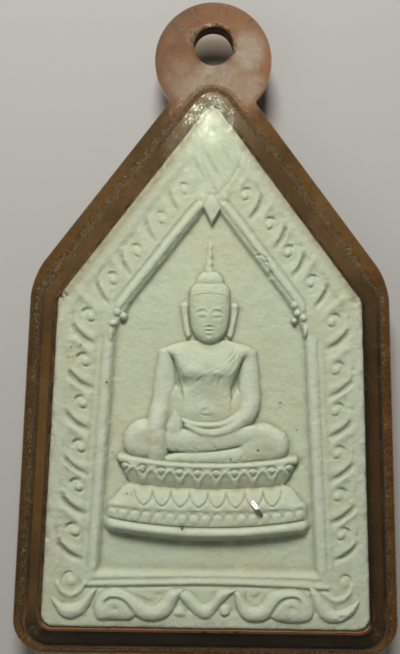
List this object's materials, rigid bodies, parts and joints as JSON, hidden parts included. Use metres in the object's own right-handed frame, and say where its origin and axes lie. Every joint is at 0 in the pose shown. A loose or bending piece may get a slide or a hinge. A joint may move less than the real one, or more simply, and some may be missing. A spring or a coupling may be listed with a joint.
{
  "type": "thai buddha amulet pendant",
  "caption": "Gable-shaped pressed clay tablet with a seated figure in relief, sealed in a clear acrylic case with a round drilled hanging lug.",
  "frame": {"origin": "centre of the pendant's bounding box on the surface that it lies on, its back window", "axes": "+Z out of the front of the tablet, +Y up the pendant to the lug, +X to the viewer's right"},
  "size_m": [0.0348, 0.0588, 0.0084],
  "materials": {
    "clear_case": "aged clear acrylic, scratched, smoky brown tint",
    "cement": "dried cement film, brown, speckled with grit",
    "pressed_clay": "pressed pale greenish cream clay powder, matt, worn smooth",
    "metal_fleck": "small bright flake with a dull edge"
  },
  "bodies": {
    "root": {"case_back": "clear_case", "glue_seam": "cement", "case_front": "clear_case", "tablet": "pressed_clay", "metal_fleck": "metal_fleck"}
  },
  "joints": []
}
